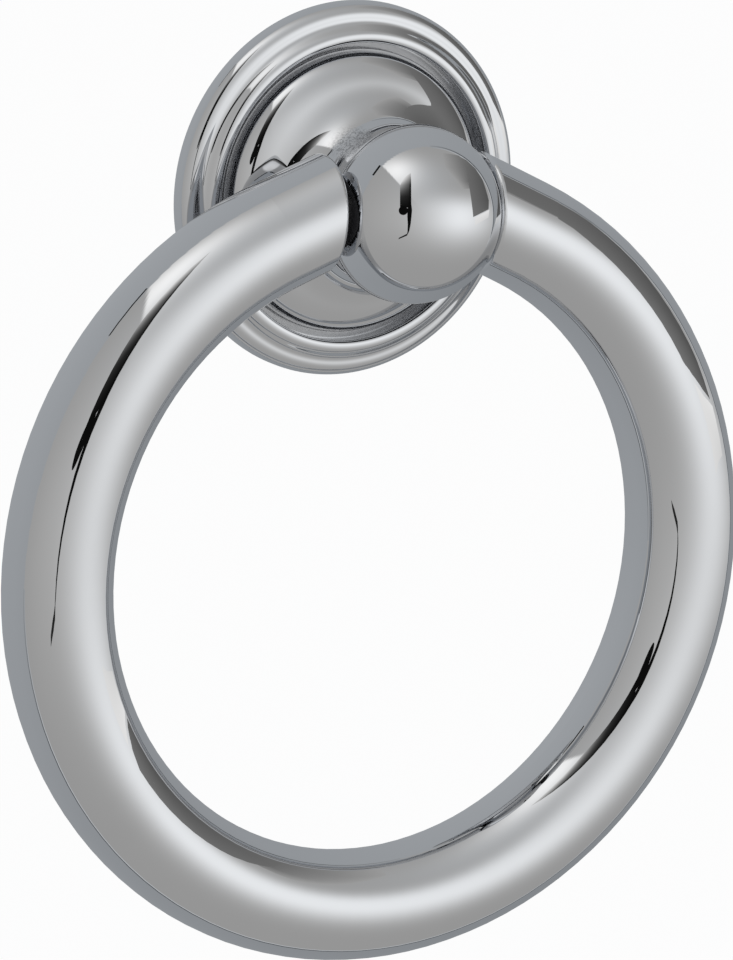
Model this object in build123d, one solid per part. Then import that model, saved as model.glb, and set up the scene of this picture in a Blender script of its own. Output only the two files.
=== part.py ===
from build123d import *
import math
import os

# Drop pull for a drawer front or a cabinet door, in millimetres.
# The origin is the centre of the rosette's back face. +Z is up and -Y faces the user.
# Turned pieces are drawn as half sections: radius across, height out from the drawer front.
# A pull is how far a curve's handle reaches, as a share of the curve's chord.

# Rosette, the stepped plate against the drawer front
rosette_diameter = 31.75
edge_land = 0.70
edge_round = 1.20
recess_diameter = 25.36
recess_floor = 1.15
bead_width = 0.42
bead_height = 2.75
lip_drop = 0.17
back_relief = 0.40
back_rim_width = 2.20
back_hub_width = 1.80
cove_pull = 0.30

# Post, turned in one piece from the foot to the head
groove_width = 0.63
flange_height = 0.55
flange_ledge = 0.25
foot_height = 1.10
shoulder_diameter = 19.00
shoulder_height = 4.10
foot_slope = 80.0
shoulder_slope = 20.0
dome_foot_pull = 0.33
dome_shoulder_pull = 0.35
neck_diameter = 12.00
neck_slope = 90.0
flare_shoulder_pull = 0.36
flare_neck_pull = 0.50
neck_height = 9.55
neck_length = 1.00
head_diameter = 15.10
width_across_flats = 13.60
neck_fillet = 0.45
spigot_diameter = 9.00
spigot_clearance = 0.05
tap_drill_diameter = 3.46
tap_depth = 7.40
drill_point_angle = 118.0

# Ring, bent from round bar, with its two ends closed on the pivot pin
# From straight_from off the ring's middle line, the bar runs straight in to the head.
ring_outer_diameter = 68.85
bar_diameter = 9.30
straight_from = 12.00
side_play = 0.50
resting_gap = 0.05
end_round = 0.38

# Pivot pin through the head, set back towards the drawer front from the head's widest circle
pivot_setback = 1.10
pin_diameter = 3.00
pin_running_clearance = 0.05
pin_seat_clearance = 0.02
pin_hole_depth = 4.50
pin_end_gap = 0.25
pin_chamfer = 0.25

# Sharp turned edges are broken by this much
edge_break = 0.10

rosette_radius = rosette_diameter / 2
recess_radius = recess_diameter / 2
spigot_radius = spigot_diameter / 2

# The bead stands round the recess, and the post's flange and foot stand inside it.
bead_radius = recess_radius + bead_width
flange_radius = recess_radius - groove_width
foot_radius = flange_radius - flange_ledge
head_radius = head_diameter / 2
neck_radius = neck_diameter / 2
head_back_round = head_radius - neck_radius
bar_radius = bar_diameter / 2
pin_radius = pin_diameter / 2

# The straight neck starts where the flare ends, and the head stands on top of it.
neck_end = neck_height + neck_length
head_out = neck_end + head_back_round
pivot = Vector(0, pivot_setback - head_out, 0)

# The ring's ends stand side_play clear of the head's flats, and the ring has slid along its pin
# until one end is only resting_gap away.
ring_end = width_across_flats / 2 + side_play
ring_slide = side_play - resting_gap
ring_radius = ring_outer_diameter / 2 - bar_radius
bend_gap = math.asin(straight_from / ring_radius)
ring_drop = ring_radius * math.cos(bend_gap) + (straight_from - ring_end) * math.tan(bend_gap)
ring_centre = pivot + Vector(-ring_slide, 0, -ring_drop)


def at(radius, height):
    return Vector(radius, -height, 0)


def flowing_curve(start, start_slope, end, end_slope, start_pull, end_pull):
    # Cubic curve running inward and up a section, leaving and arriving at the given slopes.
    chord = (end - start).length
    slopes = (math.radians(start_slope), math.radians(end_slope))
    leave, arrive = (Vector(-math.cos(slope), -math.sin(slope), 0) for slope in slopes)
    return Bezier(start, start + leave * chord * start_pull, end - arrive * chord * end_pull, end)


def turned(section):
    # Closes a half section's wire and turns it about the post's axis.
    face = make_face(section)
    return revolve(face, Axis.Y, 360)


def cross_cylinder(radius, length, centre):
    return Pos(*centre) * Rot(0, 90, 0) * Cylinder(radius, length)


def make_rosette():
    hub_bore = spigot_radius + spigot_clearance
    round_top = at(rosette_radius - edge_round, edge_land + edge_round)
    round_middle = at(
        rosette_radius - edge_round * (1 - math.cos(math.pi / 4)),
        edge_land + edge_round * math.sin(math.pi / 4),
    )
    crest = at(bead_radius, bead_height)
    lip = at(recess_radius, bead_height - lip_drop)
    outside = ThreePointArc(at(rosette_radius, edge_land), round_middle, round_top)
    cove = flowing_curve(round_top, 0, crest, 0, cove_pull, cove_pull)
    bead = TangentArc(crest, lip, tangent=(-1, 0, 0))
    inside = Polyline(
        lip,
        at(recess_radius, recess_floor),
        at(hub_bore, recess_floor),
        at(hub_bore, 0),
    )
    relief_outer = rosette_radius - back_rim_width
    relief_inner = hub_bore + back_hub_width
    back = Polyline(
        at(hub_bore, 0),
        at(relief_inner, 0),
        at(relief_inner, back_relief),
        at(relief_outer, back_relief),
        at(relief_outer, 0),
        at(rosette_radius, 0),
        at(rosette_radius, edge_land),
    )
    body = turned([outside, cove, bead, inside, back])
    lip_edge = body.edges().filter_by(GeomType.CIRCLE).sort_by_distance(lip)[0]
    return chamfer(lip_edge, edge_break)


def face_sides_flat(body):
    # The ball's two sides are faced flat, where the ring's ends bear.
    sideways = (Align.MIN, Align.MIN, Align.CENTER)
    waste = Box(head_radius, head_radius + head_back_round, head_diameter, align=sideways)
    for turn in (0, 180):
        body -= Rot(0, turn, 0) * Pos(width_across_flats / 2, -head_out - head_radius, 0) * waste
    return body


def make_post():
    flange_top = recess_floor + flange_height
    foot_top = recess_floor + foot_height
    neck_start = at(neck_radius, neck_height)
    neck_top = at(neck_radius, neck_end)
    shoulder = at(shoulder_diameter / 2, shoulder_height)
    base = Polyline(
        at(0, head_out + head_radius),
        at(0, 0),
        at(spigot_radius, 0),
        at(spigot_radius, recess_floor),
        at(flange_radius, recess_floor),
        at(flange_radius, flange_top),
        at(foot_radius, flange_top),
        at(foot_radius, foot_top),
    )
    dome = flowing_curve(
        at(foot_radius, foot_top), foot_slope, shoulder, shoulder_slope, dome_foot_pull, dome_shoulder_pull
    )
    flare = flowing_curve(
        shoulder, shoulder_slope, neck_start, neck_slope, flare_shoulder_pull, flare_neck_pull
    )
    neck = Line(neck_start, neck_top)
    # The head is a true ball in front of its widest circle and rounds in to the neck behind it
    ball = CenterArc(at(0, head_out), head_radius, -90, 90)
    back_of_head = CenterArc(at(neck_radius, head_out), head_back_round, 0, 90)
    body = turned([base, dome, flare, neck, back_of_head, ball])
    circles = body.edges().filter_by(GeomType.CIRCLE)
    body = fillet(circles.sort_by_distance(neck_top)[0], neck_fillet)
    body = face_sides_flat(body)
    for corner in (at(flange_radius, flange_top), at(foot_radius, foot_top)):
        circles = body.edges().filter_by(GeomType.CIRCLE)
        body = chamfer(circles.sort_by_distance(corner)[0], edge_break)
    tap_radius = tap_drill_diameter / 2
    point = tap_radius / math.tan(math.radians(drill_point_angle / 2))
    drilled = Polyline(
        at(0, 0),
        at(tap_radius, 0),
        at(tap_radius, tap_depth),
        at(0, tap_depth + point),
        at(0, 0),
    )
    body -= turned([drilled])
    body -= cross_cylinder(pin_radius + pin_running_clearance, head_diameter, pivot)
    return body


def make_ring():
    # The bar's middle line: a straight run, the bend round and a straight run back to the head
    gap_angle = math.degrees(bend_gap)
    bend = CenterArc((0, 0), ring_radius, 90 + gap_angle, 360 - 2 * gap_angle)
    run = straight_from / math.cos(bend_gap)
    first_run = Line(bend @ 0 - run * (bend % 0), bend @ 0)
    last_run = Line(bend @ 1, bend @ 1 + run * (bend % 1))
    spine = Plane(ring_centre, x_dir=(1, 0, 0), z_dir=(0, -1, 0)) * Wire([first_run, bend, last_run])
    bar = Plane(spine @ 0, z_dir=spine % 0) * Circle(bar_radius)
    hoop = sweep(bar, path=spine)
    # Everything between the two ends is cut away, down to the middle of the ring
    upward = (Align.CENTER, Align.CENTER, Align.MIN)
    gap = Box(2 * ring_end, 2 * bar_diameter, ring_outer_diameter, align=upward)
    body = hoop - Pos(*ring_centre) * gap
    end_faces = body.faces().filter_by(Axis.X).filter_by(GeomType.PLANE)
    body = fillet(end_faces.edges(), end_round)
    seat_radius = pin_radius + pin_seat_clearance
    middle = (ring_centre.X, pivot.Y, pivot.Z)
    return body - cross_cylinder(seat_radius, 2 * (ring_end + pin_hole_depth), middle)


def make_pivot_pin():
    length = 2 * (ring_end + pin_hole_depth - pin_end_gap)
    pin = cross_cylinder(pin_radius, length, (ring_centre.X, pivot.Y, pivot.Z))
    return chamfer(pin.edges().filter_by(GeomType.CIRCLE), pin_chamfer)


pieces = {
    "rosette": make_rosette(),
    "post": make_post(),
    "ring": make_ring(),
    "pivot_pin": make_pivot_pin(),
}

os.makedirs("parts", exist_ok=True)
for name, piece in pieces.items():
    export_step(piece, f"parts/{name}.step")
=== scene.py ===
import math

import bmesh
import bpy
from mathutils import Matrix, Vector


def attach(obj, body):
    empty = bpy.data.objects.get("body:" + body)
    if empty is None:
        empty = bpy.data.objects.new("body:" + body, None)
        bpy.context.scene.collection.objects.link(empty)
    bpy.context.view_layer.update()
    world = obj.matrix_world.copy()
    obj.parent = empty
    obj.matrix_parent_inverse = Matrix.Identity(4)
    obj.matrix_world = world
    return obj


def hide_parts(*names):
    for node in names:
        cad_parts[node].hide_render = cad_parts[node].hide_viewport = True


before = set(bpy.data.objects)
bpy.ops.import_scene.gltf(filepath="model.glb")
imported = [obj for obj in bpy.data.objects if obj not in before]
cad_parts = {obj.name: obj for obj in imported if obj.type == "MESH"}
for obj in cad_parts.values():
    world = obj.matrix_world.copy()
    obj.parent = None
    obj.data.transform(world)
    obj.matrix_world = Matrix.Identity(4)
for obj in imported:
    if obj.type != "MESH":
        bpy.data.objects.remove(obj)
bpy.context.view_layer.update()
print("frame loaded:", sorted(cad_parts))

mm = 0.001
zAxis = Vector((0, 0, 1))

# Camera: far off on a long lens, a little to the left of the pull and above it, and tilted
shot = {
    "azimuth": -30.208,
    "elevation": 10.650,
    "roll": 4.604,
    "distance": 1374.24 * mm,
    "lookAt": Vector((-5.3535, -18.0, -21.4994)) * mm,
    "focalPixels": 16594.4,
    "frameWidth": 733,
    "frameHeight": 960,
    "centreX": 369.08,
    "centreY": 482.56,
    "sensor": 36.0,
    "clip": (0.1, 50),
}


def cameraAxes():
    azimuth = math.radians(shot["azimuth"])
    elevation = math.radians(shot["elevation"])
    roll = math.radians(shot["roll"])
    toCamera = Vector((
        math.sin(azimuth) * math.cos(elevation),
        -math.cos(azimuth) * math.cos(elevation),
        math.sin(elevation),
    ))
    level = (-toCamera).cross(zAxis).normalized()
    upright = level.cross(-toCamera)
    right = level * math.cos(roll) + upright * math.sin(roll)
    up = upright * math.cos(roll) - level * math.sin(roll)
    return right, up, toCamera


def addCamera():
    right, up, toCamera = cameraAxes()
    data = bpy.data.cameras.new("camera")
    camera = bpy.data.objects.new("camera", data)
    bpy.context.collection.objects.link(camera)
    turn = Matrix((right, up, toCamera)).transposed().to_4x4()
    camera.matrix_world = Matrix.Translation(shot["lookAt"] + toCamera * shot["distance"]) @ turn
    longSide = shot["frameHeight"]
    data.sensor_width = shot["sensor"]
    data.lens = shot["focalPixels"] * shot["sensor"] / longSide
    data.shift_x = (shot["frameWidth"] / 2 - shot["centreX"]) / longSide
    data.shift_y = (shot["centreY"] - shot["frameHeight"] / 2) / longSide
    data.clip_start, data.clip_end = shot["clip"]
    bpy.context.scene.camera = camera


addCamera()
print("camera placed")


# Turned pieces. An outline is a list of (radius, height off the drawer front) in millimetres.
def arc(centre, radius, fromDegrees, toDegrees, steps):
    points = []
    for step in range(steps + 1):
        angle = math.radians(fromDegrees + (toDegrees - fromDegrees) * step / steps)
        points.append((centre[0] + radius * math.cos(angle), centre[1] + radius * math.sin(angle)))
    return points


def curvePoint(shares, points):
    return tuple(sum(share * point[i] for share, point in zip(shares, points)) for i in (0, 1))


def flow(start, startSlope, end, endSlope, startPull, endPull, steps):
    # Cubic curve that runs inward and up, leaving and arriving at the given slopes
    chord = math.dist(start, end)
    slopes = (math.radians(startSlope), math.radians(endSlope))
    leave, arrive = ((-math.cos(slope), math.sin(slope)) for slope in slopes)
    near = [start[i] + leave[i] * chord * startPull for i in (0, 1)]
    far = [end[i] - arrive[i] * chord * endPull for i in (0, 1)]
    points = []
    for step in range(steps + 1):
        t = step / steps
        shares = ((1 - t) ** 3, 3 * t * (1 - t) ** 2, 3 * t ** 2 * (1 - t), t ** 3)
        points.append(curvePoint(shares, (start, near, far, end)))
    return points


def eased(before, corner, after, reach, steps=5, most=0.48):
    # Small round where two runs of an outline meet, taking at most that share of either run
    ends = []
    for other in (before, after):
        share = min(reach / math.dist(corner, other), most)
        ends.append([corner[i] + (other[i] - corner[i]) * share for i in (0, 1)])
    points = []
    for step in range(steps + 1):
        t = step / steps
        shares = ((1 - t) ** 2, 2 * t * (1 - t), t ** 2)
        points.append(curvePoint(shares, (ends[0], corner, ends[1])))
    return points


def held(outline, closed, longRun=0.35, hold=0.03):
    # Two points close to the ends of each long run keep it shaded straight
    points = []
    count = len(outline) if closed else len(outline) - 1
    for index in range(count):
        start, end = outline[index], outline[(index + 1) % len(outline)]
        points.append(start)
        length = math.dist(start, end)
        if length > longRun:
            for share in (hold / length, 1 - hold / length):
                points.append(tuple(start[i] + (end[i] - start[i]) * share for i in (0, 1)))
    if not closed:
        points.append(outline[-1])
    return points


def turned(outline, spokes, closed):
    build = bmesh.new()
    rows = []
    for radius, height in outline:
        if radius == 0:
            rows.append([build.verts.new((0, -height * mm, 0))] * spokes)
            continue
        row = []
        for spoke in range(spokes):
            angle = 2 * math.pi * spoke / spokes
            across, up = radius * mm * math.cos(angle), radius * mm * math.sin(angle)
            row.append(build.verts.new((across, -height * mm, up)))
        rows.append(row)
    nextRows = rows[1:] + rows[:1] if closed else rows[1:]
    for lower, upper in zip(rows, nextRows):
        for spoke in range(spokes):
            after = (spoke + 1) % spokes
            corners = [lower[spoke], lower[after], upper[after], upper[spoke]]
            build.faces.new(list(dict.fromkeys(corners)))
    bmesh.ops.recalc_face_normals(build, faces=build.faces)
    return build


def addPiece(name, build, sharpDegrees=34):
    mesh = bpy.data.meshes.new(name)
    build.to_mesh(mesh)
    build.free()
    mesh.shade_smooth()
    mesh.set_sharp_from_angle(angle=math.radians(sharpDegrees))
    piece = bpy.data.objects.new(name, mesh)
    bpy.context.collection.objects.link(piece)
    return piece


rosette = {
    "radius": 15.875,
    "edgeLand": 0.70,
    "edgeRound": 1.20,
    "crest": (13.10, 2.75),
    "covePull": 0.48,      # a little fuller than the solid's 0.30
    "beadRound": 0.6038,
    "beadTurn": 134.0,
    "lip": (12.68, 2.58),
    "floor": 1.15,
    "hubBore": 4.55,
    "hubOuter": 6.35,
    "relief": 0.40,
    "reliefOuter": 13.675,
    "eased": 0.12,
    "spokes": 240,
}


def addRosette():
    r = rosette
    roundMiddle = (r["radius"] - r["edgeRound"], r["edgeLand"])
    roundTop = (roundMiddle[0], roundMiddle[1] + r["edgeRound"])
    beadMiddle = (r["crest"][0], r["crest"][1] - r["beadRound"])
    bead = arc(beadMiddle, r["beadRound"], 90, r["beadTurn"], 8)
    innerFoot = (r["lip"][0], r["floor"])
    outline = eased((r["reliefOuter"], 0), (r["radius"], 0), (r["radius"], r["edgeLand"]), r["eased"])
    outline += arc(roundMiddle, r["edgeRound"], 0, 90, 18)
    outline += flow(roundTop, 0, r["crest"], 0, r["covePull"], r["covePull"], 24)[1:]
    outline += bead[1:-2]
    outline += eased(bead[-3], r["lip"], innerFoot, r["eased"])
    outline += [innerFoot, (r["hubBore"], r["floor"]), (r["hubBore"], 0), (r["hubOuter"], 0)]
    outline += [(r["hubOuter"], r["relief"]), (r["reliefOuter"], r["relief"]), (r["reliefOuter"], 0)]
    return addPiece("rosettePlate", turned(held(outline, True), r["spokes"], True))


post = {
    "headRadius": 7.55,
    "headHeight": 12.10,
    "backRound": 1.55,
    "acrossFlats": 13.60,
    "neckRadius": 6.00,
    "neckFillet": 0.45,
    "neckHeight": 9.55,
    "flarePulls": (0.36, 0.50),
    "shoulder": (9.50, 4.10),
    "shoulderSlope": 20,
    "domePulls": (0.33, 0.35),
    "footSlope": 80,
    "foot": (11.80, 2.25),
    "flange": (12.05, 1.70),
    "seat": 1.15,
    "spigot": 4.50,
    "tap": (1.73, 7.40),
    "drillPoint": 8.44,
    "eased": 0.10,
    "spokes": 240,
    "pinHeight": 11.00,
    "pinBore": 1.55,
}


def addPost():
    p = post
    neck, head, back, fillet = p["neckRadius"], p["headHeight"], p["backRound"], p["neckFillet"]
    # The fillet's middle lies one fillet off the neck and off the round behind the head
    drop = math.sqrt((back + fillet) ** 2 - fillet ** 2)
    meeting = math.degrees(math.asin(drop / (back + fillet)))
    spigotTop = (p["spigot"], p["seat"])
    flangeFoot = (p["flange"][0], p["seat"])
    ledge = (p["foot"][0], p["flange"][1])
    neckFoot = (neck, p["neckHeight"])
    outline = [(0, p["drillPoint"]), p["tap"], (p["tap"][0], 0), (p["spigot"], 0), spigotTop]
    outline += eased(spigotTop, flangeFoot, p["flange"], p["eased"])
    outline += eased(flangeFoot, p["flange"], ledge, p["eased"])
    outline += [ledge]
    dome = flow(p["foot"], p["footSlope"], p["shoulder"], p["shoulderSlope"], *p["domePulls"], 18)
    outline += eased(ledge, dome[0], dome[1], p["eased"])
    outline += dome[2:]
    outline += flow(p["shoulder"], p["shoulderSlope"], neckFoot, 90, *p["flarePulls"], 32)[1:]
    outline += arc((neck + fillet, head - drop), fillet, 180, 180 - meeting, 8)
    outline += arc((neck, head), back, -meeting, 0, 14)[1:]
    outline += arc((0, head), p["headRadius"], 0, 90, 54)[1:-1]
    outline += [(0, head + p["headRadius"])]
    build = turned(held(outline, False), p["spokes"], False)
    for side in (-1, 1):
        faceFlat(build, side)
    piece = addPiece("turnedPost", build)
    borePost(piece)
    return piece


def faceFlat(build, side):
    # One side of the ball is faced flat, where the ring's end bears
    behind = post["neckHeight"] * mm
    faces = [face for face in build.faces if min(-v.co.y for v in face.verts) > behind]
    parts = set(faces)
    for face in faces:
        parts.update(face.edges)
        parts.update(face.verts)
    cut = bmesh.ops.bisect_plane(
        build, geom=list(parts), dist=1e-7, clear_outer=True,
        plane_co=(side * post["acrossFlats"] / 2 * mm, 0, 0), plane_no=(side, 0, 0),
    )
    rim = [part for part in cut["geom_cut"] if isinstance(part, bmesh.types.BMEdge)]
    bmesh.ops.edgeloop_fill(build, edges=rim)


def borePost(piece):
    # The pivot pin's hole through the head, cut by a drill that is then thrown away
    build = bmesh.new()
    turn = Matrix.Translation((0, -post["pinHeight"] * mm, 0)) @ Matrix.Rotation(math.pi / 2, 4, "Y")
    radius = post["pinBore"] * mm
    bmesh.ops.create_cone(
        build, cap_ends=True, segments=64, radius1=radius, radius2=radius,
        depth=3 * post["headRadius"] * mm, matrix=turn,
    )
    drill = addPiece("drill", build)
    cut = piece.modifiers.new("pinHole", "BOOLEAN")
    cut.operation = "DIFFERENCE"
    cut.solver = "EXACT"
    cut.object = drill
    whole = piece.data
    drilled = piece.evaluated_get(bpy.context.evaluated_depsgraph_get())
    piece.data = bpy.data.meshes.new_from_object(drilled)
    piece.data.name = "turnedPost"
    piece.modifiers.remove(cut)
    bpy.data.meshes.remove(whole)
    bpy.data.objects.remove(drill)


rosettePlate = addRosette()
postPiece = addPost()
for piece, node in ((rosettePlate, "rosette"), (postPiece, "post")):
    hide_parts(node)
    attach(piece, "base")
print("rosette and post turned")


# Node helpers
def newMaterial(name):
    material = bpy.data.materials.new(name)
    material.use_nodes = True
    material.node_tree.nodes.clear()
    return material, material.node_tree


def addNode(tree, kind, values=None, **settings):
    node = tree.nodes.new(kind)
    for key, value in settings.items():
        setattr(node, key, value)
    for key, value in (values or {}).items():
        if isinstance(value, bpy.types.NodeSocket):
            tree.links.new(value, node.inputs[key])
        else:
            node.inputs[key].default_value = value
    return node


def maths(tree, operation, first, second=0.0):
    return addNode(tree, "ShaderNodeMath", {0: first, 1: second}, operation=operation).outputs[0]


def vectorMaths(tree, operation, first, second=(0, 0, 0)):
    return addNode(tree, "ShaderNodeVectorMath", {0: first, 1: second}, operation=operation).outputs


def mapRange(tree, value, low, high, toLow=0.0, toHigh=1.0, smooth=False):
    values = {"Value": value, "From Min": low, "From Max": high, "To Min": toLow, "To Max": toHigh}
    kind = "SMOOTHSTEP" if smooth else "LINEAR"
    return addNode(tree, "ShaderNodeMapRange", values, interpolation_type=kind).outputs["Result"]


def mixColour(tree, amount, first, second):
    return addNode(tree, "ShaderNodeMix", {0: amount, 6: first, 7: second}, data_type="RGBA").outputs[2]


def noise(tree, vector, scale, detail, roughness=0.5):
    values = {"Vector": vector, "Scale": scale, "Detail": detail, "Roughness": roughness}
    return addNode(tree, "ShaderNodeTexNoise", values).outputs["Fac"]


def addBump(tree, strength, distance, height, under=None):
    values = {"Strength": strength, "Distance": distance, "Height": height}
    if under:
        values["Normal"] = under
    return addNode(tree, "ShaderNodeBump", values).outputs["Normal"]


def addMetal(tree, colour, metallic, rough, normal):
    values = {"Base Color": colour, "Metallic": metallic, "Roughness": rough, "Normal": normal}
    metal = addNode(tree, "ShaderNodeBsdfPrincipled", values)
    addNode(tree, "ShaderNodeOutputMaterial", {"Surface": metal.outputs[0]})


def newGroup(name, inputs, outputs):
    # inputs: name to (kind, default); outputs: name to kind
    group = bpy.data.node_groups.new(name, "ShaderNodeTree")
    for socket, (kind, value) in inputs.items():
        made = group.interface.new_socket(socket, in_out="INPUT", socket_type=kind)
        if value is not None:
            made.default_value = value
    for socket, kind in outputs.items():
        group.interface.new_socket(socket, in_out="OUTPUT", socket_type=kind)
    return group, group.nodes.new("NodeGroupInput"), group.nodes.new("NodeGroupOutput")


# Effects shared by the metals
def buildPlatingRipple():
    # Slight waviness that buffing leaves under the plate
    group, given, result = newGroup(
        "platingRipple",
        {"Vector": ("NodeSocketVector", None), "Scale": ("NodeSocketFloat", 120.0)},
        {"Height": "NodeSocketFloat"},
    )
    broad = noise(group, given.outputs["Vector"], given.outputs["Scale"], 1.0, 0.4)
    group.links.new(broad, result.inputs["Height"])
    return group


def buildHandledFilm():
    # Thin film of handling: soft blotches with finer specks in them
    group, given, result = newGroup(
        "handledFilm",
        {
            "Vector": ("NodeSocketVector", None),
            "Scale": ("NodeSocketFloat", 90.0),
            "Coverage": ("NodeSocketFloat", 0.5),
        },
        {"Mask": "NodeSocketFloat"},
    )
    vector, scale = given.outputs["Vector"], given.outputs["Scale"]
    blotch = noise(group, vector, scale, 4.0, 0.55)
    specks = noise(group, vector, maths(group, "MULTIPLY", scale, 9.0), 2.0)
    edge = maths(group, "SUBTRACT", 1.0, given.outputs["Coverage"])
    body = mapRange(group, blotch, edge, maths(group, "ADD", edge, 0.25), smooth=True)
    grain = mapRange(group, specks, 0.3, 0.7, 0.6, 1.0)
    group.links.new(maths(group, "MULTIPLY", body, grain), result.inputs["Mask"])
    return group


def buildHairlines():
    # Fine hairlines: along the vector's Y where Stretch is small, and across it where Stretch is large
    group, given, result = newGroup(
        "hairlines",
        {
            "Vector": ("NodeSocketVector", None),
            "Scale": ("NodeSocketFloat", 900.0),
            "Stretch": ("NodeSocketFloat", 0.03),
        },
        {"Height": "NodeSocketFloat", "Mask": "NodeSocketFloat"},
    )
    squeeze = addNode(group, "ShaderNodeCombineXYZ", {0: 1.0, 1: given.outputs["Stretch"], 2: 1.0})
    scaled = vectorMaths(group, "MULTIPLY", given.outputs["Vector"], squeeze.outputs[0])[0]
    lines = noise(group, scaled, given.outputs["Scale"], 2.0, 0.6)
    group.links.new(lines, result.inputs["Height"])
    group.links.new(mapRange(group, lines, 0.62, 0.74, smooth=True), result.inputs["Mask"])
    return group


def buildGrooveDust():
    # Pale dust low in the groove between the post's foot and the rosette's lip
    group, given, result = newGroup(
        "grooveDust",
        {
            "Vector": ("NodeSocketVector", None),
            "Middle": ("NodeSocketFloat", 0.0123),
            "Half Width": ("NodeSocketFloat", 0.0006),
            "Top": ("NodeSocketFloat", 0.0022),
            "Speck Scale": ("NodeSocketFloat", 2600.0),
        },
        {"Mask": "NodeSocketFloat"},
    )
    vector, halfWidth, top = (given.outputs[name] for name in ("Vector", "Half Width", "Top"))
    parts = addNode(group, "ShaderNodeSeparateXYZ", {0: vector})
    across = addNode(group, "ShaderNodeCombineXYZ", {0: parts.outputs[0], 1: 0.0, 2: parts.outputs[2]})
    radius = vectorMaths(group, "LENGTH", across.outputs[0])["Value"]
    # It fades out over a quarter of the half width more, and over the top part of its height
    off = maths(group, "ABSOLUTE", maths(group, "SUBTRACT", radius, given.outputs["Middle"]))
    inside = mapRange(group, off, maths(group, "MULTIPLY", halfWidth, 1.25), halfWidth)
    height = maths(group, "MULTIPLY", parts.outputs[1], -1.0)
    deep = mapRange(group, height, top, maths(group, "MULTIPLY", top, 0.72), smooth=True)
    specks = noise(group, vector, given.outputs["Speck Scale"], 3.0)
    patchy = mapRange(group, specks, 0.25, 0.6, 0.9, 1.0)
    dusty = maths(group, "MULTIPLY", inside, deep)
    group.links.new(maths(group, "MULTIPLY", dusty, patchy), result.inputs["Mask"])
    return group


def buildPivotGapShade():
    # Mask of painted shade in the gaps between the head's flats and the ring's ends. It starts where the
    # distance across from Middle is the first limit and is full at the second, in front of Behind and above
    # Lowest. It ends at Front, and draws back above and below the pin by Taper times the square of the
    # distance.
    group, given, result = newGroup(
        "pivotGapShade",
        {
            "Vector": ("NodeSocketVector", None),
            "Middle": ("NodeSocketFloat", 0.0),
            "ShadeStart": ("NodeSocketFloat", 0.0),
            "ShadeFull": ("NodeSocketFloat", 0.0),
            "Behind": ("NodeSocketFloat", 0.0),
            "Lowest": ("NodeSocketFloat", -1.0),
            "Front": ("NodeSocketFloat", 1.0),
            "Taper": ("NodeSocketFloat", 0.0),
        },
        {"Mask": "NodeSocketFloat"},
    )
    parts = addNode(group, "ShaderNodeSeparateXYZ", {0: given.outputs["Vector"]})
    aside = maths(group, "SUBTRACT", parts.outputs[0], given.outputs["Middle"])
    distance = maths(group, "ABSOLUTE", aside)
    mask = mapRange(group, distance, given.outputs["ShadeStart"], given.outputs["ShadeFull"])
    height = maths(group, "MULTIPLY", parts.outputs[1], -1.0)
    square = maths(group, "MULTIPLY", parts.outputs[2], parts.outputs[2])
    edge = maths(group, "ADD", height, maths(group, "MULTIPLY", square, given.outputs["Taper"]))
    limits = (
        maths(group, "GREATER_THAN", height, given.outputs["Behind"]),
        maths(group, "GREATER_THAN", parts.outputs[2], given.outputs["Lowest"]),
        maths(group, "LESS_THAN", edge, given.outputs["Front"]),
    )
    for limit in limits:
        mask = maths(group, "MULTIPLY", mask, limit)
    group.links.new(mask, result.inputs["Mask"])
    return group


platingRipple = buildPlatingRipple()
handledFilm = buildHandledFilm()
hairlines = buildHairlines()
grooveDust = buildGrooveDust()
pivotGapShade = buildPivotGapShade()


def placeGroup(tree, group, values):
    return addNode(tree, "ShaderNodeGroup", values, node_tree=group).outputs


chrome = {
    "colour": (0.62, 0.63, 0.65, 1.0),
    "roughness": 0.015,
    "filmColour": (0.57, 0.58, 0.595, 1.0),
    "filmRoughness": 0.07,
    "filmShare": 0.5,
    "film": {"Scale": 70.0, "Coverage": 0.42},
    "rippleScale": 60.0,
    "ripple": (0.05, 0.02 * mm),              # bump strength and depth
    "hairlines": {"Scale": 1400.0, "Stretch": 0.04},
    "scratch": (0.03, 0.002 * mm),            # bump strength and depth
    # near-black colour of the painted shade in the pivot gaps
    "gapShadeColour": (0.018, 0.018, 0.02, 1.0),
    "dustColour": (0.20, 0.20, 0.205, 1.0),
    "dustShare": 0.45,
    "dust": {"Middle": 12.17 * mm, "Half Width": 0.42 * mm, "Top": 2.3 * mm, "Speck Scale": 2600.0},
    "dullness": 0.55,                         # roughness added where the painted gap shade or dust covers the plate
}

# A patch of the neck that the buffing wheel didn't reach, still grainy from the casting
unbuffed = {
    "at": (-3.4 * mm, -7.6 * mm, 5.2 * mm),
    "reach": 2.5 * mm,
    "full": 0.35,                             # share of the reach where it is at its strongest
    "grain": 5200.0,
    "roughness": 0.30,
    "strength": 0.7,
    "depth": 0.02 * mm,
    "pits": (0.52, 0.40),                     # grain value where a pit starts and where it is full
    "pitColour": (0.38, 0.385, 0.40, 1.0),
}

# Where the painted shade sits in the pivot gaps, on the head's flats and on the ring's ends
headGapShade = {
    "Middle": 0.0, "ShadeStart": 6.785 * mm, "ShadeFull": 6.797 * mm, "Behind": 10.6 * mm, "Lowest": -9 * mm,
    "Front": 15.38 * mm, "Taper": 0.30 / mm,
}
ringGapShade = {
    "Middle": -0.45 * mm, "ShadeStart": 7.306 * mm, "ShadeFull": 7.302 * mm, "Behind": 0.0, "Lowest": -9 * mm,
    "Front": 14.3 * mm, "Taper": 0.35 / mm,
}


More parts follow.
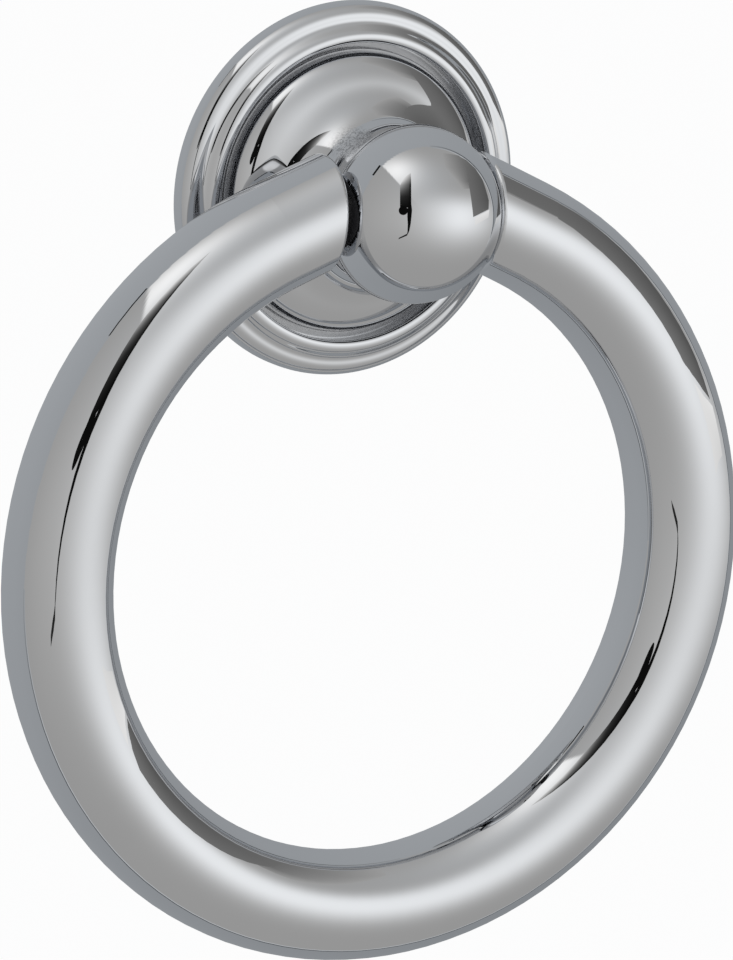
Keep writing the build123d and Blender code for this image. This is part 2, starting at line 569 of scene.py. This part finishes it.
def chromeMaterial(name, groove=False, castPatch=False, paintedGapShade=None):
    material, tree = newMaterial(name)
    where = addNode(tree, "ShaderNodeTexCoord").outputs["Object"]
    film = placeGroup(tree, handledFilm, {"Vector": where, **chrome["film"]})["Mask"]
    ripple = placeGroup(tree, platingRipple, {"Vector": where, "Scale": chrome["rippleScale"]})["Height"]
    lines = placeGroup(tree, hairlines, {"Vector": where, **chrome["hairlines"]})["Height"]
    filmShare = maths(tree, "MULTIPLY", film, chrome["filmShare"])
    colour = mixColour(tree, filmShare, chrome["colour"], chrome["filmColour"])
    rough = mapRange(tree, film, 0.0, 1.0, chrome["roughness"], chrome["filmRoughness"])
    normal = addBump(tree, *chrome["ripple"], ripple)
    normal = addBump(tree, *chrome["scratch"], lines, normal)
    if castPatch:
        away = vectorMaths(tree, "DISTANCE", where, unbuffed["at"])["Value"]
        patch = mapRange(tree, away, unbuffed["reach"], unbuffed["reach"] * unbuffed["full"], smooth=True)
        grain = noise(tree, where, unbuffed["grain"], 3.0)
        strength = maths(tree, "MULTIPLY", patch, unbuffed["strength"])
        normal = addBump(tree, strength, unbuffed["depth"], grain, normal)
        rough = maths(tree, "ADD", rough, maths(tree, "MULTIPLY", patch, unbuffed["roughness"]))
        pits = maths(tree, "MULTIPLY", patch, mapRange(tree, grain, *unbuffed["pits"]))
        colour = mixColour(tree, pits, colour, unbuffed["pitColour"])
    covers = []      # dust, and the painted shade in the pivot gaps, where they cover the plate
    if groove:
        dusty = placeGroup(tree, grooveDust, {"Vector": where, **chrome["dust"]})["Mask"]
        dusty = maths(tree, "MULTIPLY", dusty, chrome["dustShare"])
        colour = mixColour(tree, dusty, colour, chrome["dustColour"])
        covers.append(dusty)
    if paintedGapShade:
        # painted shade: the pivot gaps are coloured near black and made less metallic
        gapShaded = placeGroup(tree, pivotGapShade, {"Vector": where, **paintedGapShade})["Mask"]
        colour = mixColour(tree, gapShaded, colour, chrome["gapShadeColour"])
        covers.append(gapShaded)
    cover = maths(tree, "MAXIMUM", covers[0], covers[-1])
    rough = maths(tree, "ADD", rough, maths(tree, "MULTIPLY", cover, chrome["dullness"]))
    addMetal(tree, colour, maths(tree, "SUBTRACT", 1.0, cover), rough, normal)
    return material


steel = {
    "colour": (0.55, 0.55, 0.56, 1.0),
    "wornColour": (0.46, 0.46, 0.465, 1.0),
    "roughness": 0.24,
    "lineRoughness": 0.36,
    "film": {"Scale": 300.0, "Coverage": 0.5},
    "hairlines": {"Scale": 5200.0, "Stretch": 8.0},
    "scratch": (0.3, 0.01 * mm),
}


def steelMaterial():
    # Ground steel, with its grinding marks round the pin
    material, tree = newMaterial("groundSteel")
    where = addNode(tree, "ShaderNodeTexCoord").outputs["Object"]
    turn = {"Vector": where, "Angle": math.pi / 2}
    alongPin = addNode(tree, "ShaderNodeVectorRotate", turn, rotation_type="Z_AXIS").outputs[0]
    lines = placeGroup(tree, hairlines, {"Vector": alongPin, **steel["hairlines"]})
    film = placeGroup(tree, handledFilm, {"Vector": where, **steel["film"]})["Mask"]
    colour = mixColour(tree, film, steel["colour"], steel["wornColour"])
    rough = mapRange(tree, lines["Mask"], 0.0, 1.0, steel["roughness"], steel["lineRoughness"])
    addMetal(tree, colour, 1.0, rough, addBump(tree, *steel["scratch"], lines["Height"]))
    return material


ringChrome = chromeMaterial("ringChrome", paintedGapShade=ringGapShade)
rosetteChrome = chromeMaterial("rosetteChrome", groove=True)
postChrome = chromeMaterial("postChrome", groove=True, castPatch=True, paintedGapShade=headGapShade)
groundSteel = steelMaterial()
for piece, material in ((rosettePlate, rosetteChrome), (postPiece, postChrome)):
    piece.data.materials.clear()
    piece.data.materials.append(material)
for name, material in (("ring", ringChrome), ("pivot_pin", groundSteel)):
    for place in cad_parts[name].material_slots:
        place.material = material
print("metals made")


# Studio: everything is placed by its direction from the pull, in degrees right and up of the camera
def studioDirection(rightDegrees, upDegrees):
    right, up, toCamera = cameraAxes()
    spread = math.hypot(rightDegrees, upDegrees)
    if spread == 0:
        return toCamera
    sideways = (right * rightDegrees + up * upDegrees) / spread
    turn = math.radians(spread)
    return toCamera * math.cos(turn) + sideways * math.sin(turn)


def displayLight(value):
    # A tone as it looks on screen, from 0 to 255, as the light that gives it
    share = value / 255
    return share / 12.92 if share <= 0.04045 else ((share + 0.055) / 1.055) ** 2.4


def cardLight(tone, rightDegrees, upDegrees):
    # The light that a card needs there for the chrome to show it at this tone
    glance = math.cos(math.radians(min(math.hypot(rightDegrees, upDegrees), 180)) / 2)
    rise = (1 - glance) ** 5
    metal = chrome["colour"]
    return [displayLight(tone[i]) / (metal[i] + (1 - metal[i]) * rise) for i in range(3)] + [1.0]


def tinted(tone, cool):
    # A grey tone drawn towards blue by cool
    return (tone - cool * 0.6, tone, tone + cool * 0.7)


def toneMaterial(name):
    # Each card's tones are painted on its own points
    material, tree = newMaterial(name)
    paint = addNode(tree, "ShaderNodeVertexColor", layer_name="tone")
    glow = addNode(tree, "ShaderNodeEmission", {"Color": paint.outputs["Color"], "Strength": 1.0})
    addNode(tree, "ShaderNodeOutputMaterial", {"Surface": glow.outputs[0]})
    material.cycles.emission_sampling = "NONE"
    return material


cardPaint = toneMaterial("cardPaint")
floorHeight = -900 * mm
tentLift = 2 * mm        # how far the tent lies above the floor
sheetLift = 10 * mm      # how much higher a sheet lies there for each metre that it is nearer than the tent


def placedPoint(rightDegrees, upDegrees, distance):
    # Out along the direction, or just above the floor if that is nearer
    way = studioDirection(rightDegrees, upDegrees)
    reach = distance
    if way.z < 0:
        above = tentLift + (tent["radius"] - distance) * sheetLift
        reach = min(reach, (floorHeight + above - shot["lookAt"].z) / way.z)
    return shot["lookAt"] + way * reach


def addSheet(name, rows, distance, closed=False):
    # A sheet through rows of ((right, up), tone), seen in the metal and nowhere else
    build = bmesh.new()
    layer = build.verts.layers.float_color.new("tone")
    made = []
    for row in rows:
        line = []
        for (x, y), tone in row:
            point = build.verts.new(placedPoint(x, y, distance))
            point[layer] = cardLight(tone, x, y)
            line.append(point)
        made.append(line)
    for first, second in zip(made, made[1:]):
        last = len(first) if closed else len(first) - 1
        for index in range(last):
            after = (index + 1) % len(first)
            build.faces.new((first[index], first[after], second[after], second[index]))
    mesh = bpy.data.meshes.new(name)
    build.to_mesh(mesh)
    build.free()
    mesh.materials.append(cardPaint)
    sheet = bpy.data.objects.new(name, mesh)
    bpy.context.collection.objects.link(sheet)
    sheet.visible_camera = False
    sheet.visible_diffuse = False
    sheet.visible_shadow = False
    sheet.visible_volume_scatter = False


# Tones are given as the chrome shows them on screen, from 0 to 255
tent = {
    "radius": 3.0,
    "rings": 120,
    "spokes": 240,
    "base": 149,
    "brightest": 250,
    "wallEdge": 100,                 # degrees from the drawer front's own direction, where the board starts
    "board": 146,
    "boardUp": 7,                    # tone gained at the top, and lost at the bottom
    "boardRight": -6,                # the same towards the right
    "boardCool": 6,
    "wallLine": (70, -165),          # the part of the wall's edge where its line shows
}

# Soft lights in the tent: centre, how far each reaches left, right, up and down, and the tone it adds
softLights = [
    dict(at=(68, -7), left=53, right=62, up=28, down=34, upPower=3, add=80, cool=4, cut=False),
    dict(at=(-20, 56), left=40, right=31, up=21.5, down=28, upPower=2, add=84, cool=0, cut=True),
    dict(at=(20, 42), left=40, right=40, up=30, down=34, upPower=2, add=12, cool=3, cut=False),
    dict(at=(-22, -4), left=45, right=60, up=50, down=40, upPower=2, add=12, cool=0, cut=False),
]

# The straight edge that cuts one of them off on its left
patchEdge = {"top": (-41, 67), "tip": (-14, 36), "soft": 1.6}


def tentTone(x, y, direction):
    fromWall = math.degrees(math.acos(max(-1, min(1, -direction.y))))
    if fromWall > tent["wallEdge"]:
        upShare, rightShare = (max(-1, min(1, value / 100)) for value in (y, x))
        tone = tent["board"] + tent["boardUp"] * upShare + tent["boardRight"] * rightShare
        return tinted(tone, tent["boardCool"])
    tone, cool = tent["base"], 0
    for light in softLights:
        dx, dy = x - light["at"][0], y - light["at"][1]
        wide = light["right"] if dx > 0 else light["left"]
        tall = light["up"] if dy > 0 else light["down"]
        power = light["upPower"] if dy > 0 else 2
        share = math.exp(-((dx / wide) ** 2) - (abs(dy) / tall) ** power)
        if light["cut"]:
            share *= besidePatch(x, y)
        tone += light["add"] * share
        cool += light["cool"] * share
    return tinted(min(tone, tent["brightest"]), cool)


def besidePatch(x, y):
    # 0 to the left of the bright patch's straight edge, 1 to the right of it
    (ax, ay), (bx, by) = patchEdge["top"], patchEdge["tip"]
    length = math.hypot(bx - ax, by - ay)
    off = ((x - ax) * (ay - by) + (y - ay) * (bx - ax)) / length
    share = max(0, min(1, off / patchEdge["soft"] + 0.5))
    return share * share * (3 - 2 * share)


def addTent():
    rows = []
    for ring in range(tent["rings"] + 1):
        spread = max(180 * ring / tent["rings"], 0.01)      # a tiny hole is left at the middle
        row = []
        for spoke in range(tent["spokes"]):
            angle = 2 * math.pi * spoke / tent["spokes"]
            x, y = spread * math.cos(angle), spread * math.sin(angle)
            row.append(((x, y), tentTone(x, y, studioDirection(x, y))))
        rows.append(row)
    addSheet("studioTent", rows, tent["radius"], closed=True)


def addCard(name, lines, distance, along=6, across=6, cool=0):
    # Each line is (left point, right point, left tone, right tone), from one end of the card to the other
    rows = []
    for (a, b, toneA, toneB), (c, d, toneC, toneD) in zip(lines, lines[1:]):
        for step in range(along + 1):
            t = step / along
            left = [a[i] + (c[i] - a[i]) * t for i in (0, 1)]
            right = [b[i] + (d[i] - b[i]) * t for i in (0, 1)]
            tones = (toneA + (toneC - toneA) * t, toneB + (toneD - toneB) * t)
            row = []
            for part in range(across + 1):
                s = part / across
                point = [left[i] + (right[i] - left[i]) * s for i in (0, 1)]
                row.append((point, tinted(tones[0] + (tones[1] - tones[0]) * s, cool)))
            rows.append(row)
    addSheet(name, rows, distance)


def discLines(centre, radius, tone, count=12):
    # A round card, as lines from its bottom to its top; the two ends keep a little width
    lines = []
    for step in range(count + 1):
        angle = math.pi * (step / count - 0.5)
        half, height = radius * max(math.cos(angle), 0.05), centre[1] + radius * math.sin(angle)
        lines.append(((centre[0] - half, height), (centre[0] + half, height), tone, tone))
    return lines


def wallArc(degrees, steps):
    # Points of the chart that lie this far from the drawer front's own direction, from the
    # upper right round by the bottom to the lower left
    right, up, toCamera = cameraAxes()
    turn = math.radians(degrees)
    first, last = (math.radians(angle) for angle in tent["wallLine"])
    points = []
    for step in range(steps + 1):
        angle = first + (last - first) * step / steps
        across, rise = math.sin(turn) * math.cos(angle), math.sin(turn) * math.sin(angle)
        way = Vector((across, -math.cos(turn), rise))
        spread = math.degrees(way.angle(toCamera))
        side = math.atan2(way.dot(up), way.dot(right))
        points.append((spread * math.cos(side), spread * math.sin(side)))
    return points


cards = {
    "cameraBody": {"lines": discLines((-9.5, 3.4), 5.8, 12), "distance": 1.42},
    "columnLow": {"lines": [
        ((-13.6, 7), (0, 7), 12, 12),
        ((-13.6, 21), (0, 21), 46, 24),
    ], "distance": 1.55},
    "columnHigh": {"lines": [
        ((-13.6, 21), (0, 21), 46, 24),
        ((-13.6, 28), (0, 28), 98, 38),
        ((-13.6, 35), (0, 37), 160, 72),
        ((-11, 41), (0, 45), 215, 128),
        ((-8, 46), (0, 52), 222, 188),
    ], "distance": 1.55},
    "columnEdge": {"lines": [
        ((-0.9, 47), (0.2, 47), 150, 150),
        ((-1.6, 36), (0.5, 36), 40, 40),
        ((-2.6, 12), (0.6, 12), 12, 12),
        ((-4.4, 5), (1.6, 4), 12, 12),
        ((-4.4, -5), (0.8, -5), 12, 12),
        ((-3.9, -14), (-0.2, -14), 12, 12),
        ((-4.2, -23), (-1.8, -22), 16, 20),
        ((-5.2, -28), (-3.2, -25.5), 26, 36),
    ], "distance": 1.50},
    "columnHook": {"lines": [
        ((-4.8, -28.6), (-3.4, -25.4), 30, 30),
        ((-16.2, -33.6), (-15.2, -31.4), 36, 50),
    ], "distance": 1.50},
    "smallBar": {"lines": [
        ((-51.5, 51.5), (-49, 50.5), 26, 26),
        ((-42, 65.5), (-39.5, 64), 20, 20),
    ], "distance": 1.60},
    "darkPanel": {"lines": [
        ((86.5, -4.5), (117, 8.5), 112, 90),
        ((83, 20), (118, 22), 106, 80),
        ((79.5, 46), (108, 52), 104, 84),
        ((79, 64), (96, 69), 104, 92),
        ((69, 84), (81, 80), 116, 104),
    ], "distance": 2.0},
    "panelShade": {"lines": [
        ((70, 33), (81, 35), 157, 130),
        ((62, 44), (79.6, 45), 154, 107),
        ((47, 62), (79.3, 64), 153, 105),
        ((42, 85), (70, 85), 152, 114),
    ], "distance": 2.05},
    "underBand": {"lines": [
        ((90, -16), (117, -4), 216, 206),
        ((90, -5), (119, 8), 224, 226),
    ], "distance": 2.1},
}

# Thin lines along the drawer front's edge: degrees before and past it, and the tones they go between
wallLines = {
    "wallEdge": {"from": -0.3, "to": 1.9, "faint": 144, "full": 90},
    "wallGleam": {"from": -2.2, "to": -0.3, "faint": 150, "full": 178},
}
wallLineLook = {"distance": 2.4, "cool": 5, "fade": 2.2, "steps": 160}


def addWallLine(name, line):
    # The line fades out at both of its ends
    look = wallLineLook
    rows = []
    for off in (line["from"], line["to"]):
        row = []
        for step, point in enumerate(wallArc(tent["wallEdge"] + off, look["steps"])):
            share = min(1, look["fade"] * math.sin(math.pi * step / look["steps"]))
            tone = line["faint"] + (line["full"] - line["faint"]) * share
            row.append((point, tinted(tone, look["cool"])))
        rows.append(row)
    addSheet(name, rows, look["distance"])


addTent()
for name, card in cards.items():
    addCard(name, card["lines"], card["distance"])
for name, line in wallLines.items():
    addWallLine(name, line)
print("studio built")


# Floor and world: pale to the eye, with a plain level of light
floorLook = {"half": 14.0, "colour": (0.93, 0.93, 0.93, 1.0), "glow": 0.94}
worldLook = {"colour": (0.95, 0.96, 1.0, 1.0), "strength": 0.7}
lampLook = {"place": (-0.3, -0.6, 1.6), "size": 1.0, "power": 14}
white = (1, 1, 1, 1)


def backgroundRays(tree):
    paths = addNode(tree, "ShaderNodeLightPath")
    seen = maths(tree, "MAXIMUM", paths.outputs["Is Camera Ray"], paths.outputs["Is Glossy Ray"])
    return maths(tree, "MAXIMUM", seen, paths.outputs["Is Transmission Ray"])


def addFloor():
    mesh = bpy.data.meshes.new("floor")
    half = floorLook["half"]
    corners = [(x * half, y * half, floorHeight) for x, y in ((-1, -1), (1, -1), (1, 1), (-1, 1))]
    mesh.from_pydata(corners, [], [(0, 1, 2, 3)])
    material, tree = newMaterial("floorPaper")
    paper = addNode(tree, "ShaderNodeBsdfDiffuse", {"Color": floorLook["colour"]})
    glow = addNode(tree, "ShaderNodeEmission", {"Color": white, "Strength": 1.0})
    share = maths(tree, "MULTIPLY", backgroundRays(tree), floorLook["glow"])
    mixed = addNode(tree, "ShaderNodeMixShader", {0: share, 1: paper.outputs[0], 2: glow.outputs[0]})
    addNode(tree, "ShaderNodeOutputMaterial", {"Surface": mixed.outputs[0]})
    material.cycles.emission_sampling = "NONE"
    mesh.materials.append(material)
    floor = bpy.data.objects.new("floor", mesh)
    bpy.context.collection.objects.link(floor)


def setWorld():
    world = bpy.data.worlds.new("studio")
    bpy.context.scene.world = world
    world.use_nodes = True
    tree = world.node_tree
    tree.nodes.clear()
    given = {"Color": worldLook["colour"], "Strength": worldLook["strength"]}
    soft = addNode(tree, "ShaderNodeBackground", given).outputs[0]
    seen = addNode(tree, "ShaderNodeBackground", {"Color": white, "Strength": 1.0}).outputs[0]
    mixed = addNode(tree, "ShaderNodeMixShader", {0: backgroundRays(tree), 1: soft, 2: seen})
    addNode(tree, "ShaderNodeOutputWorld", {"Surface": mixed.outputs[0]})


def addLamp():
    data = bpy.data.lights.new("overhead", "AREA")
    data.shape = "DISK"
    data.size = lampLook["size"]
    data.energy = lampLook["power"]
    lamp = bpy.data.objects.new("overhead", data)
    bpy.context.collection.objects.link(lamp)
    lamp.location = lampLook["place"]
    lamp.rotation_mode = "QUATERNION"
    lamp.rotation_quaternion = (shot["lookAt"] - Vector(lampLook["place"])).to_track_quat("-Z", "Y")
    lamp.visible_camera = False
    lamp.visible_glossy = False


addFloor()
setWorld()
addLamp()
bpy.context.scene.view_settings.view_transform = "Standard"
print("floor, world and lamp set")
